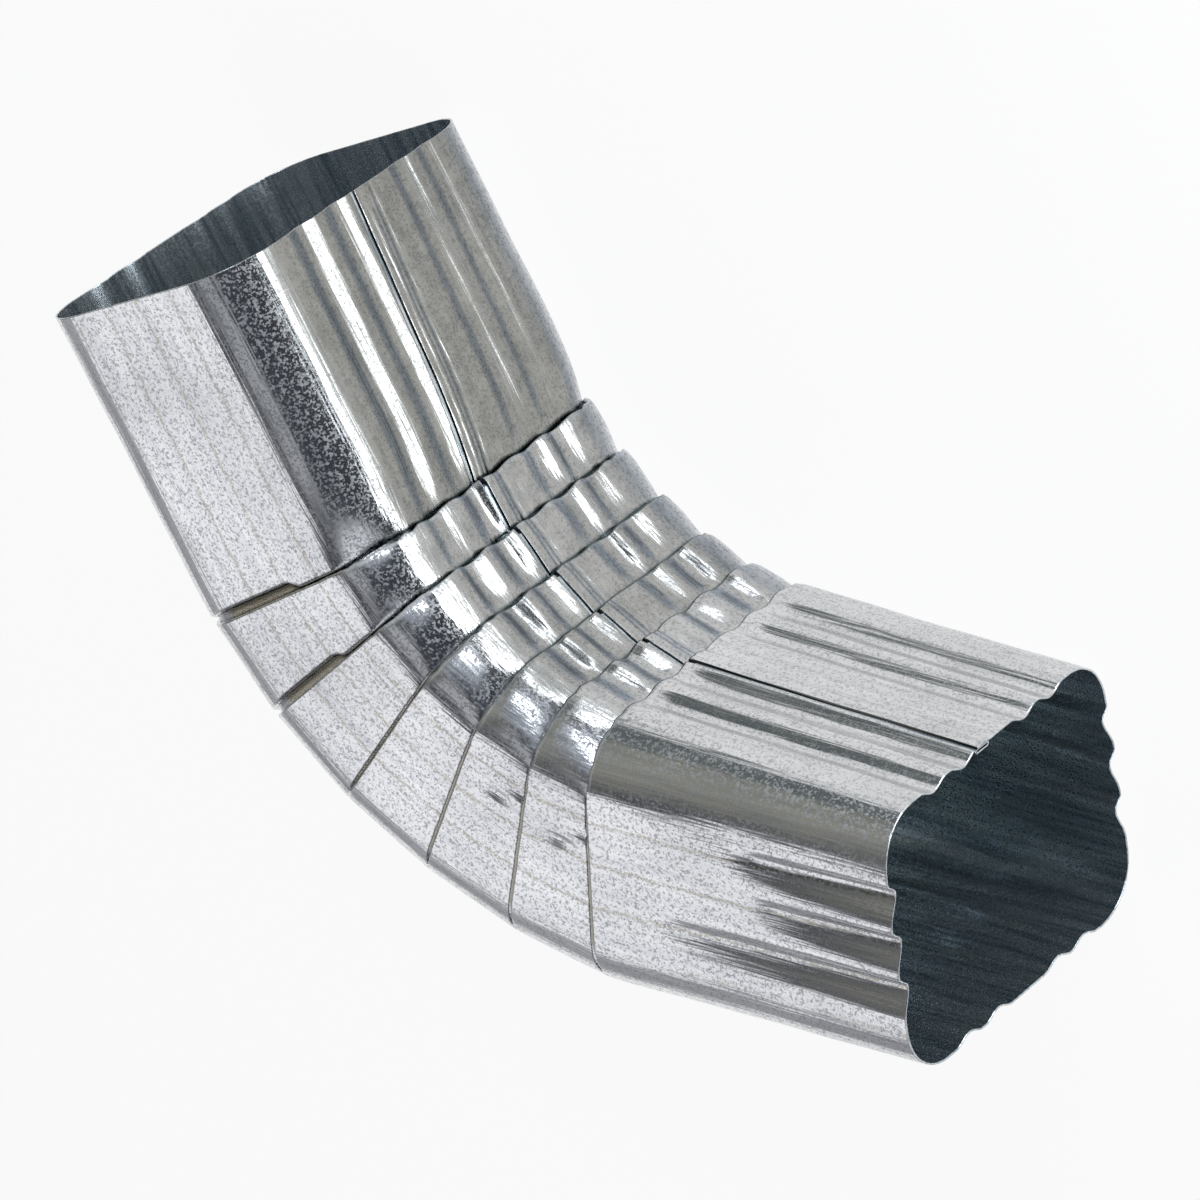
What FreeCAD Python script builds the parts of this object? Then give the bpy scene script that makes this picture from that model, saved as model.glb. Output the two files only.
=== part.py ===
import FreeCAD, Part
import math
import os
from FreeCAD import Vector

# A corrugated rectangular downspout elbow, folded from one strip of galvanised sheet.
# It lies on a side wall. The bend is in the XY plane, with the outlet arm along +X,
# the throat (the short inner wall of the bend) towards +Y and the side walls at both ends of Z.

# Sheet and tube, in millimetres
sheet = 0.5
width = 108.0
depth = 85.5
corner_radius = 19.6
outlet_narrowing_width = 3.8
outlet_narrowing_depth = 6.9
outlet_corner_radius = 15.0

# Bend: equal gores between crimps, angles in degrees
crimp_count = 6
crimp_turn = 10.8
gore_length = 23.8
inlet_length = 92.7
inlet_length_throat = 89.8
outlet_length = 101.2
outlet_length_throat = 98.2

# Crimp: where its rings lie along the wall, measured from the lip, and how far in they sit.
# On the throat the wall sinks all the way from one lip to the next, at the heel only in the roll.
inlet_sink_start = 28.0
roll_start = 5.0
roll_start_depth = 1.6
roll_middle = 1.7
roll_middle_depth_throat = 2.4
roll_middle_depth_heel = 0.7
fold_depth_throat = 3.0
fold_depth_heel = 1.6
pleat_throat = 9.2
pleat_heel = 1.4
pleat_gap = 0.12
lip_gap = 0.35
lip_sink = 0.4
lip_reach = 0.3
lip_root = 1.0
bevel_length = 4.6
recess_heel_first = 2.4
recess_heel_last = 0.6

# Corrugation: shallow grooves on throat and heel, deeper ones on the side walls
wall_groove_first = 13.9
wall_groove_pitch = 13.1
wall_groove_width = 12.4
wall_groove_depth = 1.8
gore_groove_depth = 0.8
roll_groove_depth = 0.3
side_groove_pitch = 13.6
side_groove_width = 12.4
side_groove_inlet = 1.1
side_groove_outlet = 3.2
side_groove_run = 62.0
groove_fade = 7.0

# Facets of each rounded corner, and of the grooves in walls and sides of the arms
corner_steps = 6
arm_steps = (4, 6)
flatness = 1e-6

# Lock seam along the throat wall
seam_offset = 6.7
seam_width = 5.4
seam_gap = 0.12
seam_notch_width = 0.9
seam_notch_depth = 0.3
seam_ramp = 0.3

hem_rise = 3 * sheet + 3 * seam_gap
half_turn = math.radians(crimp_turn / 2)

# The outlet's mouth goes into the mouth of the next length of pipe
outlet_width = width - outlet_narrowing_width
outlet_depth = depth - outlet_narrowing_depth

# Each wall carries as many grooves as its flat part has room for, the same along the whole tube
wall_flat = min(width / 2 - corner_radius, outlet_width / 2 - outlet_corner_radius)
side_flat = min(depth / 2 - corner_radius, outlet_depth / 2 - outlet_corner_radius)
wall_groove_count = 1 + int((wall_flat - wall_groove_first - wall_groove_width / 2) / wall_groove_pitch)
side_groove_count = int((side_flat - side_groove_width / 2) / side_groove_pitch)
wall_grooves = [wall_groove_first + k * wall_groove_pitch for k in range(wall_groove_count)]
side_grooves = [k * side_groove_pitch for k in range(-side_groove_count, side_groove_count + 1)]


def frame_of(segment):
    """Downstream end and heading of one straight run, from 0, the inlet arm, to the outlet arm."""
    heading = 0.0
    origin = Vector(0, 0, 0)
    for step in range(crimp_count - 1, segment, -1):
        heading -= math.radians(crimp_turn)
        origin = origin - along(heading) * gore_length
    if segment < crimp_count:
        heading -= math.radians(crimp_turn)
    return origin, heading


def along(heading):
    return Vector(math.cos(heading), math.sin(heading), 0)


def across(heading):
    return Vector(-math.sin(heading), math.cos(heading), 0)


class Run:
    """A straight run of the tube, with places on it given from the crimp at one of its ends."""

    def __init__(self, segment, upstream_end):
        crimp = segment - 1 if upstream_end else segment
        self.origin = frame_of(crimp)[0]
        self.heading = frame_of(segment)[1]
        self.lean = math.tan(half_turn) if upstream_end else -math.tan(half_turn)

    def place(self, x, y, z):
        return self.origin + along(self.heading) * x + across(self.heading) * y + Vector(0, 0, z)


class Ring:
    """One closed line round the tube, with its own place and inset at the throat and at the heel."""

    def __init__(self, run, shift, inset, skin, mouth=False, shrink=0.0, grooves=(0.0, 0.0),
                 steps=(2, 0), hem=0.0):
        self.run = run
        self.shift_throat, self.shift_heel = shift
        self.inset_throat, self.inset_heel = inset
        self.skin = skin
        self.lean = 0.0 if mouth else run.lean
        self.half_width = (width + (outlet_width - width) * shrink) / 2
        self.half_depth = (depth + (outlet_depth - depth) * shrink) / 2
        self.radius = corner_radius + (outlet_corner_radius - corner_radius) * shrink
        self.wall_groove, self.side_groove = grooves
        self.wall_steps, self.side_steps = steps
        self.hem = hem

    def share(self, y):
        return y / (2 * self.half_depth) + 0.5

    def inset(self, y):
        return self.skin + self.inset_heel + (self.inset_throat - self.inset_heel) * self.share(y)

    def point(self, y, z):
        shift = self.shift_heel + (self.shift_throat - self.shift_heel) * self.share(y)
        return self.run.place(shift + self.lean * y, y, z)

    def groove(self, wall, centre, half, drop, steps):
        """A cosine hollow in a wall, where wall(position, depth) gives a point on that wall."""
        points = []
        for step in range(steps + 1):
            u = 2 * step / steps - 1
            slope = -drop * math.pi / (2 * half) * math.sin(math.pi * u)
            lay = math.sqrt(1 + slope * slope)
            fall = drop * (1 + math.cos(math.pi * u)) / 2
            points.append(wall(centre + u * half - self.skin * slope / lay, fall + self.skin * (1 / lay - 1)))
        return points

    def broad_wall(self, sign):
        """The throat wall (sign +1) or the heel wall (sign -1), walked towards sign * Z."""
        inset = self.skin + (self.inset_throat if sign > 0 else self.inset_heel)
        level = self.half_depth - inset

        def wall(position, fall):
            return self.point(sign * (level - fall), sign * position)

        points = []
        for centre in reversed(wall_grooves):
            points += self.groove(wall, -centre, wall_groove_width / 2, self.wall_groove, self.wall_steps)
        if sign > 0:
            points += self.seam(wall)
        for centre in wall_grooves:
            points += self.groove(wall, centre, wall_groove_width / 2, self.wall_groove, self.wall_steps)
        return points

    def seam(self, wall):
        """A notch where the outer layer folds under, and the stacked hem inside an arm."""
        if self.skin == 0:
            half = seam_notch_width / 2
            return [wall(seam_offset - half, 0), wall(seam_offset, seam_notch_depth),
                    wall(seam_offset + half, 0)]
        if self.side_steps == 0:
            return []
        near = seam_offset - seam_width
        far = seam_offset + sheet
        return [wall(near - seam_ramp, 0), wall(near, self.hem), wall(far, self.hem),
                wall(far + seam_ramp, 0)]

    def side_wall(self, sign):
        """The side wall at +Z (sign +1), walked from throat to heel, or at -Z, walked back."""
        def wall(position, fall):
            y = -sign * position
            return self.point(y, sign * (self.half_width - self.inset(y) - fall))

        points = []
        for centre in side_grooves if self.side_steps else ():
            points += self.groove(wall, centre, side_groove_width / 2, self.side_groove, self.side_steps)
        return points

    def corner(self, y_sign, z_sign):
        """A rounded corner, walked from the broad wall to the side wall."""
        radius = self.radius - self.skin - (self.inset_throat if y_sign > 0 else self.inset_heel)
        y_centre = self.half_depth - self.radius
        z_centre = self.half_width - self.radius
        points = []
        for step in range(corner_steps + 1):
            turn = math.radians(90 * step / corner_steps)
            points.append(self.point(y_sign * (y_centre + radius * math.cos(turn)),
                                     z_sign * (z_centre + radius * math.sin(turn))))
        return points

    def points(self):
        around = self.broad_wall(1) + self.corner(1, 1) + self.side_wall(1) + self.corner(-1, 1)[::-1]
        around += self.broad_wall(-1) + self.corner(-1, -1) + self.side_wall(-1) + self.corner(1, -1)[::-1]
        return around + around[:1]


def recess(crimp):
    """How far the lip stands off the rolled-in wall at the heel: wide at the inlet, then closing."""
    share = crimp / (crimp_count - 1)
    return recess_heel_first + (recess_heel_last - recess_heel_first) * share


def crimp_rings(crimp, skin):
    """The rings of one crimp: down the rolled wall, along the pleat and back over the lip."""
    above = Run(crimp, False)
    below = Run(crimp + 1, True)
    gap = recess(crimp)
    first = 0.0 if crimp == 0 else roll_groove_depth
    last = 0.0 if crimp == crimp_count - 1 else gore_groove_depth
    floor = (fold_depth_throat, fold_depth_heel)
    half_floor = (roll_middle_depth_throat, roll_middle_depth_heel)
    bend = roll_middle + skin / 2
    heel_lip = fold_depth_heel - lip_gap - 2 * sheet
    rings = [Ring(above, (-roll_start, -roll_start - gap), (roll_start_depth, 0), skin, grooves=(first, 0)),
             Ring(above, (-bend, -bend - gap), half_floor, skin),
             Ring(below, (lip_reach - skin, -gap), floor, skin),
             Ring(below, (pleat_throat + skin, pleat_heel + skin), floor, skin)]
    if skin:
        rise = 2 * sheet + pleat_gap
        rings.append(Ring(below, (pleat_throat + skin, pleat_heel + skin),
                          (fold_depth_throat - rise, fold_depth_heel - rise), skin))
        rings.append(Ring(below, (lip_root, pleat_heel + 2 * sheet), (lip_sink, heel_lip), skin))
    else:
        rings.append(Ring(below, (0, 0), (lip_sink + 2 * sheet, heel_lip + 2 * sheet), skin))
        rings.append(Ring(below, (0, 0), (lip_sink, heel_lip), skin))
    rings.append(Ring(below, (bevel_length, bevel_length), (0, 0), skin, grooves=(last, 0)))
    return rings


def panels(a, b, c, d):
    """One flat panel between four corners, or two where the corners don't lie in a plane."""
    normal = (b - a).cross(d - a)
    if abs((c - a).dot(normal)) <= flatness * normal.Length:
        return [Part.Face(Part.makePolygon([a, b, c, d, a]))]
    if a.distanceToPoint(c) <= b.distanceToPoint(d):
        return [Part.Face(Part.makePolygon([a, b, c, a])), Part.Face(Part.makePolygon([a, c, d, a]))]
    return [Part.Face(Part.makePolygon([a, b, d, a])), Part.Face(Part.makePolygon([b, c, d, b]))]


def skin_faces(rings):
    faces = []
    lines = [ring.points() for ring in rings]
    for near, far in zip(lines[:-1], lines[1:]):
        for i in range(len(near) - 1):
            faces += panels(near[i], near[i + 1], far[i + 1], far[i])
    return faces


def closed_sheet(outer, inner):
    """A solid stretch of sheet between its outer and inner rings, joined by a rim at each end."""
    faces = skin_faces(outer) + skin_faces(inner)
    for end in (0, -1):
        edges = [Part.makePolygon(rings[end].points()) for rings in (outer, inner)]
        faces += Part.makeFace(edges, "Part::FaceMakerBullseye").Faces
    shell = Part.makeShell(faces)
    shell.sewShape()
    solid = Part.makeSolid(shell)
    if solid.Volume < 0:
        solid.reverse()
    return solid


def crimped_bend():
    """The gores and crimps between the two arms."""
    skins = [[ring for crimp in range(crimp_count) for ring in crimp_rings(crimp, skin)] for skin in (0, sheet)]
    return closed_sheet(*skins)


def inlet_arm():
    """The upper arm: it keeps its full section and slips over the pipe above."""
    run = Run(0, False)
    skins = []
    for skin in (0, sheet):
        gap = recess(0)
        skins.append([
            Ring(run, (-inlet_length_throat, -inlet_length), (0, 0), skin, True, 0,
                 (wall_groove_depth, side_groove_inlet), arm_steps, hem_rise),
            Ring(run, (-inlet_sink_start, -inlet_sink_start), (0, 0), skin, False, 0,
                 (wall_groove_depth, 0), arm_steps, hem_rise),
            Ring(run, (-roll_start, -roll_start - gap), (roll_start_depth, 0), skin, False, 0,
                 (0, 0), arm_steps)])
    return closed_sheet(*skins)


def outlet_arm():
    """The lower arm: it narrows to its mouth, where the side grooves run in, to slip into a pipe."""
    run = Run(crimp_count, True)
    skins = []
    for skin in (0, sheet):
        fade = outlet_length - side_groove_run
        start = bevel_length + groove_fade
        mouth = (wall_groove_depth, side_groove_outlet)
        skins.append([
            Ring(run, (bevel_length, bevel_length), (0, 0), skin, False, 0, (0, 0), arm_steps),
            Ring(run, (start, start), (0, 0), skin, False, 0, (wall_groove_depth, 0), arm_steps, hem_rise),
            Ring(run, (fade, fade), (0, 0), skin, True, fade / outlet_length,
                 (wall_groove_depth, 0), arm_steps, hem_rise),
            Ring(run, (outlet_length_throat, outlet_length), (0, 0), skin, True, 1, mouth,
                 arm_steps, hem_rise)])
    return closed_sheet(*skins)


def seam_slots():
    """The gap between the two hooked edges of the lock seam, as spans in Z and spans in depth."""
    foot = seam_offset - seam_width
    hook = seam_offset - seam_gap
    layer = sheet + seam_gap
    return [((hook, seam_offset), (-sheet, 3 * layer)),
            ((foot + sheet, seam_offset), (3 * layer - seam_gap, 3 * layer)),
            ((foot + sheet, foot + layer), (2 * layer - seam_gap, 3 * layer)),
            ((foot + sheet, hook - sheet), (2 * layer - seam_gap, 2 * layer)),
            ((hook - layer, hook - sheet), (sheet, 2 * layer)),
            ((foot - 2 * seam_ramp, hook - sheet), (sheet, layer))]


def cut_seam(solid, run, start, end, slope):
    """Opens the lock seam along one arm, whose throat wall falls by slope for each millimetre."""
    heading = math.degrees(run.heading - math.atan(slope))
    for (low, high), (top, bottom) in seam_slots():
        slot = Part.makeBox(end - start, bottom - top, high - low, Vector(0, -bottom, low))
        slot.rotate(Vector(0, 0, 0), Vector(0, 0, 1), heading)
        slot.translate(run.place(start, depth / 2 - slope * start, 0))
        solid = solid.cut(slot)
    return solid


def elbow():
    lean = depth / 2 * math.tan(half_turn)
    slope = (depth - outlet_depth) / 2 / outlet_length
    inlet = cut_seam(inlet_arm(), Run(0, False), -inlet_length - sheet, -lean - inlet_sink_start, 0)
    outlet = cut_seam(outlet_arm(), Run(crimp_count, True), lean + bevel_length + groove_fade,
                      outlet_length + sheet, slope)
    solid = crimped_bend().fuse([inlet, outlet])
    box = solid.optimalBoundingBox(True, False)
    solid.translate(Vector(-box.Center.x, -box.Center.y, -box.ZMin))
    return solid


os.makedirs("parts", exist_ok=True)
piece = elbow()
print("valid", piece.isValid(), "solids", len(piece.Solids), "volume", round(piece.Volume, 1))
print("box", piece.optimalBoundingBox(True, False))
piece.exportStep("parts/elbow.step")
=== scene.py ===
import bpy
import math
import numpy as np
from mathutils import Matrix


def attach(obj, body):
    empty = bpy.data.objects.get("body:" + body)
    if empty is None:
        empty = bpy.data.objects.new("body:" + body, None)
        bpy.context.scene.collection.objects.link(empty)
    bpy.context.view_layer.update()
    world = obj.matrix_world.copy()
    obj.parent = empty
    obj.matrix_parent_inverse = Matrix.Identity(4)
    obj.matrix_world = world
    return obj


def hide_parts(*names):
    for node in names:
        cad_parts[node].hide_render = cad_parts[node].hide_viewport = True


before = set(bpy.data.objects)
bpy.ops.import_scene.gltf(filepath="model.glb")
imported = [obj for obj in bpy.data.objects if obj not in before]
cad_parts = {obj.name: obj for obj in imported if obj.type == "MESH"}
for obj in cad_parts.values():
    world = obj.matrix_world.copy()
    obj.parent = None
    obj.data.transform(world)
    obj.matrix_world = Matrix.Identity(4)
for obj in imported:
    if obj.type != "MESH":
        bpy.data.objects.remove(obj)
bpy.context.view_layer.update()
print("frame loaded")

# The tube, in millimetres: on each straight length x runs with the water, y towards the throat and z across the
# side walls. Its place is where the centre line meets the last crimp
tube = {
    "halfWidth": 54.0, "halfDepth": 42.75, "cornerRadius": 19.6,
    "outletHalfWidth": 52.1, "outletHalfDepth": 39.3, "outletCornerRadius": 16.0,
    "sheet": 0.5,
    "crimps": 6, "crimpTurn": 10.8,
    "inletLength": 92.7, "goreLength": 23.8, "outletLength": 101.2,
    "inletThroatLength": 89.8, "outletThroatLength": 98.2,
    "place": (36.946, -59.113, 54.0),
    "clear": 0.02,  # how far the walls stay inside the tube's own box
}

# How finely the sheet is divided: lines round the tube, and rows along it on the outer and on the inner face
division = {
    "throat": 76, "corner": 12, "side": 40, "heel": 46,
    "seamBand": 21, "seamMargin": 1.6,
    "seamGap": (-1.3, -0.95, -0.7, -0.52, -0.36, -0.2, 0, 0.2, 0.36, 0.52, 0.7, 0.95, 1.3),
    "inletRows": (30, 16), "firstRows": (19, 13), "goreRows": (14, 10), "outletRows": (43, 23),
    "noseRows": 7, "riseRows": 4,
    "rim": 0.3,  # the narrow row that keeps each mouth's edge sharp
}

# The crimps: how far the wall sinks before each lip at the throat and at the heel, how long the pleat is, how
# the lip is rolled, the slot that stays open on the side walls of the first two, and how far the throat's corners
# sink at the ends of each gore and before the first crimp
crimp = {
    "foldThroat": 2.7, "foldHeel": (1.6, 1.5, 0.8, 0.75, 0.75, 0.75), "heelRoll": (1.2, 1.2, 0.8, 0.7, 0.7, 0.7),
    "pleatThroat": 9.0, "pleatHeel": 1.5,
    "lipTop": 0.12, "lipThick": 1.35, "bevel": 1.5,
    "lipWave": 0.4, "lipWaveRound": 0.46, "lipWaveStep": 1.3,
    "throatFrom": 0.6, "throatRun": 0.35, "throatPower": 1.5,  # where round the tube the fold grows deep
    "slot": (2.3, 1.9, 0, 0, 0, 0), "slotEnd": 0.55, "slotEndRun": 0.06, "slotHeel": 0.3, "slotHeelRun": 0.25,
    "armRun": 30.0,
    "pillow": (1.1, 0.9, 1.2, 1.3, 1.0), "armPillow": 1.8, "armPillowRun": 13.0, "farPillow": 0.4,
}

# How the wall rolls in under a lip: its last places and how much painted shade they take, where those start at the
# throat and at the heel, how far they go past the mitre or fall short of it, and the powers of the curves that lead
# there
roll = {
    "tail": (-1.4, -0.9, -0.45, 0.0), "tailShade": (0, 0.3, 1, 1), "tailThroat": -2.0, "tailHeel": -2.3,
    "past": 0.25, "short": 0.2,
    "closeUp": 0.85, "armPower": 1.9, "gorePower": 1.15, "heelPower": 1.3, "slotPower": 3,
}

# The lip's profile: places on the way in, to the pleat's end, and on the way back, the gaps that it leaves, its
# round nose, and the tone of the nose, worn on the first two crimps and painted shade on the rest, and of the worn
# edge behind it
lipForm = {
    "inThroat": (0.9, 3.0), "backThroat": (5.0, 2.0), "inHeel": (0.1, 0.4), "backHeel": (1.2, 0.8),
    "pleatGap": 0.03, "gapThroat": (0.5, 0.2), "gapHeel": 0.08, "leastHeel": 0.25,
    "noseEnd": 0.42, "noseRadius": 0.5,
    "toneFrom": 0.5, "wornNose": -1.0, "darkNose": 2.0, "darkFrom": 2, "wornEdge": (-0.8, -0.3, 0),
}

# The same on the inner face, which has no nose
innerLip = {"inThroat": 1.0, "backThroat": 1.2, "inHeel": 0.4, "backHeel": 1.4, "past": 1.0,
            "pleatThick": 1.12, "leastHeel": 0.1, "heelRise": 0.05}

# The corrugation along the throat and heel walls: the grooves, how they ease in at the outlet and drift on the
# inlet, how each is uneven from gore to gore, and the even ripple under them there
grooves = {
    "centres": (-27.6, -15.2, 12.9, 26.5), "halfSpan": 6.2,
    "inletDepth": (1.0, 1.1, 1.55, 1.7), "goreDepth": 1.35, "outletDepth": 2.1,
    "outletStart": 0.4, "outletRun": 9.0, "fadeAtCrimp": 0.5, "cornerPower": 3,
    "inletDrift": -4.0, "driftHalfWidth": 50.0,
    "wander": 0.9, "wanderStep": (2.3, 1.7), "uneven": 0.16, "unevenStep": (1.4, 2.9), "skew": 0.3, "skewStep": 2.1,
    "ripple": 0.55, "pitch": 13.1, "rippleWander": 0.8, "rippleStep": 1.9,
}

# The three grooves that run in at each side wall of the outlet, and the shoulder that rounds off beside them
sideGrooves = {
    "centres": (-13.0, 1.2, 15.2), "halfSpan": 6.6, "skew": 0.5,
    "depth": (3.1, 3.1, 3.4), "run": (86.0, 54.0, 58.0), "power": 0.8, "start": 14.0, "faint": 0.12,
    "shoulder": 0.9, "shoulderFrom": 8.0, "shoulderRun": 40.0, "shoulderPlace": 11.0, "shoulderWidth": 12.0,
}

# The lock seam on the throat wall: its domed band, the fine line at the band's edge and the gap beside it
seam = {
    "place": 6.9, "band": 6.6, "margin": 0.35, "dome": 0.42, "domePower": 1.5, "ripple": 0.1, "rippleWaves": 1.3,
    "start": 3.0, "startRun": 6.0,
    "edge": 0.25, "edgePlace": 0.6, "edgeWidth": 0.8,
    "gap": 0.5, "gapDepth": 1.6,
    "inletDrift": (1.6, -5.2), "slideFade": 3, "onGores": 0.8, "rise": 0.4,
}

# The unevenness of hand-fed sheet. A wave is its height and what it turns by for each millimetre along, each
# millimetre round and each length. A dent is its gore, its place along and across, its two sizes and its depth
uneven = {
    "waves": ((0.16, 0.085, 0.031, 1.7), (0.1, 0.21, -0.06, 0.6)),
    "pinch": (0.22, 0.16, 0.36, 2.2), "pinchAlong": (1.0, 0.27, 0.0, 1.0),
    "lift": 0.26, "share": 0.55, "sideShare": 0.7,
    "dents": ((4, 14.0, 9.6, 3.8, 1.3, 1.0), (4, 21.5, 14.4, 3.0, 1.0, 0.9),
              (5, 13.0, 6.2, 4.2, 1.4, 1.2), (5, 21.0, 11.6, 3.2, 1.1, 0.9)),
}

millimetre = 0.001
mitre = tube["halfDepth"] * math.tan(math.radians(tube["crimpTurn"] / 2))  # half a crimp's wedge at the walls


# An ease from 0 to 1: three times the square less twice the cube, level at both ends
def ease(u):
    u = np.clip(u, 0, 1)
    return u * u * (3 - 2 * u)


# A rounded bump of height 1: e to the minus squared distance from its centre, measured in its two sizes
def bump(a, b, centreA, centreB, sizeA, sizeB):
    return np.exp(-((a - centreA) / sizeA) ** 2 - ((b - centreB) / sizeB) ** 2)


# A hollow between -1 and 1, deepest at skew: half of 1 less the cosine of the share run in from either side
def hollow(u, skew=0.0):
    side = np.where(u < skew, (u + 1) / (1 + skew), (1 - u) / (1 - skew))
    return (1 - np.cos(np.pi * np.clip(side, 0, 1))) / 2


# The lines round the tube: on the flat part of each wall the place runs from -1 to 1, and round each corner
# the outward direction turns by 90 degrees, so y = placeY (halfDepth - radius) + radius outY, and z likewise
def roundLines():
    flat = tube["halfWidth"] - tube["cornerRadius"]
    margin = division["seamMargin"]
    gap = seam["place"] + np.array(division["seamGap"])
    band = seam["place"] - np.linspace(seam["band"] + margin, margin, division["seamBand"])
    plain = np.linspace(-flat, flat, division["throat"])[1:-1]
    clear = (plain > seam["place"] + margin) | (plain < seam["place"] - seam["band"] - margin)
    throat = np.sort(np.concatenate([plain[clear], gap, band])) / flat
    turn = np.radians(np.linspace(0, 90, division["corner"]))
    side = np.linspace(1, -1, division["side"])[1:-1]
    heel = np.linspace(1, -1, division["heel"])[1:-1]
    one, none = np.ones_like, np.zeros_like
    parts = [
        (one(throat), throat, one(throat), none(throat)),
        (one(turn), one(turn), np.cos(turn), np.sin(turn)),
        (side, one(side), none(side), one(side)),
        (-one(turn), one(turn), -np.cos(turn[::-1]), np.sin(turn[::-1])),
        (-one(heel), heel, -one(heel), none(heel)),
        (-one(turn), -one(turn), -np.cos(turn), -np.sin(turn)),
        (-side, -one(side), none(side), -one(side)),
        (one(turn), -one(turn), np.cos(turn[::-1]), -np.sin(turn[::-1])),
    ]
    return [np.concatenate(column) for column in zip(*parts)]


placeY, placeZ, outY, outZ = roundLines()
straight = 0.999  # a wall is flat where its outward direction is nearly along an axis
flatThroat = (placeY > 0) & (outY > straight)
flatSide = np.abs(outZ) > straight
throatCorner = 4 * (outY * outZ) ** 2 * (placeY > 0)  # 1 in the middle of the corners beside the throat, else 0


# Origin and heading of each straight length: length 0 is the inlet arm, 6 the outlet arm, and each starts at a
# crimp, where two lengths meet on the centre line. A heading is the turn of the crimps still to come, and each
# crimp lies one gore back from the next
def straightLengths():
    n = tube["crimps"]
    heading = -np.radians(tube["crimpTurn"]) * (n - np.arange(n + 1))
    step = np.stack([np.cos(heading), np.sin(heading)], 1) * tube["goreLength"]
    corner = np.zeros((n, 2))
    for k in range(n - 1, 0, -1):
        corner[k - 1] = corner[k] - step[k]
    return np.vstack([corner[:1], corner]), heading


origins, headings = straightLengths()


# One stretch of rows along a straight length, a column for each value: places at throat and heel, how far in they
# sit there, and how much each row belongs to the lip, to the slot and to the crease's painted shade (below 0 to the
# lip's worn edge, and 2 on a nose painted with shade as dark as the crease)
def stretch(length, xThroat, xHeel, inThroat, inHeel, lip=0.0, slot=0.0, crease=0.0):
    full = np.zeros_like(np.asarray(xThroat, float))
    return np.stack([full + value for value in (length, xThroat, xHeel, inThroat, inHeel, lip, slot, crease)], 1)


# The wall sinks towards a lip: on a power curve along the whole throat, in a short roll at the heel
def approach(k, rows, skin):
    end = roll["past"] - skin
    if k == 0:
        base, startThroat, startHeel, power = 0.0, -crimp["armRun"], -crimp["armRun"], roll["armPower"]
    else:
        base, power = tube["goreLength"], roll["gorePower"]
        startThroat = -(base - 2 * mitre) + crimp["bevel"]
        startHeel = -(base + 2 * mitre) + crimp["bevel"]
    tail = np.array(roll["tail"])
    u = np.linspace(0, 1, rows - len(tail)) ** roll["closeUp"]
    xThroat = np.concatenate([startThroat + (roll["tailThroat"] - startThroat) * u, tail + end])
    xHeel = np.concatenate([startHeel + (roll["tailHeel"] - startHeel) * u, tail - roll["short"]])
    slot = np.concatenate([u ** roll["slotPower"], np.ones(len(tail))])
    toThroat = np.clip((xThroat - startThroat) / (end - startThroat), 0, 1)
    toHeel = np.clip((xHeel + roll["short"]) / crimp["heelRoll"][k] + 1, 0, 1)
    inThroat = crimp["foldThroat"] * toThroat ** power
    inHeel = crimp["foldHeel"][k] * toHeel ** roll["heelPower"]
    # the wall rolling in under the lip takes painted shade by its tail shade
    crease = np.concatenate([0 * u, roll["tailShade"]])
    xThroat, xHeel = base + xThroat - mitre, base + xHeel + mitre
    run = stretch(k, xThroat, xHeel, inThroat + skin, inHeel + skin, 0.0, slot, crease)
    return run if k == 0 else run[1:]


# Under the lip: straight in to the pleat's end, back along the lip's underside, round the nose of the lip on
# a half circle, and up to the wall on an ease
def outerLip(k):
    deepThroat, deepHeel = crimp["foldThroat"], crimp["foldHeel"][k]
    top, thick = crimp["lipTop"], crimp["lipThick"]
    thickHeel = min(thick, deepHeel - lipForm["leastHeel"])
    turn = np.radians(np.linspace(-90, 90, division["noseRows"]))
    noseX = lipForm["noseEnd"] - lipForm["noseRadius"] * np.cos(turn)
    noseIn = (1 - np.sin(turn)) / 2
    rise = np.linspace(0, 1, division["riseRows"])[1:]
    after = lipForm["noseEnd"] + rise * (crimp["bevel"] - lipForm["noseEnd"])
    under = np.array(lipForm["gapThroat"]) + (top + thick)
    xThroat = np.concatenate([lipForm["inThroat"], [crimp["pleatThroat"]], lipForm["backThroat"], noseX, after])
    xHeel = np.concatenate([lipForm["inHeel"], [crimp["pleatHeel"]], lipForm["backHeel"], noseX, after])
    inThroat = np.concatenate([[deepThroat, deepThroat, deepThroat - lipForm["pleatGap"]], under,
                               top + noseIn * thick, top * (1 - ease(rise))])
    inHeel = np.concatenate([[deepHeel, deepHeel, deepHeel - lipForm["pleatGap"], deepHeel - lipForm["gapHeel"],
                              (deepHeel + thickHeel) / 2], noseIn * thickHeel, 0 * rise])
    fold = len(inHeel) - len(turn) - len(rise)
    lip = np.concatenate([np.zeros(fold), np.ones(len(turn)), 1 - rise])
    # the fold takes painted shade, and from the darkFrom crimp on so does the nose
    nose = lipForm["darkNose"] if k >= lipForm["darkFrom"] else lipForm["wornNose"]
    crease = np.concatenate([np.ones(fold), nose * (turn > lipForm["toneFrom"]), lipForm["wornEdge"]])
    return stretch(k + 1, xThroat + mitre, xHeel - mitre, inThroat, inHeel, lip, 0.0, crease)


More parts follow.
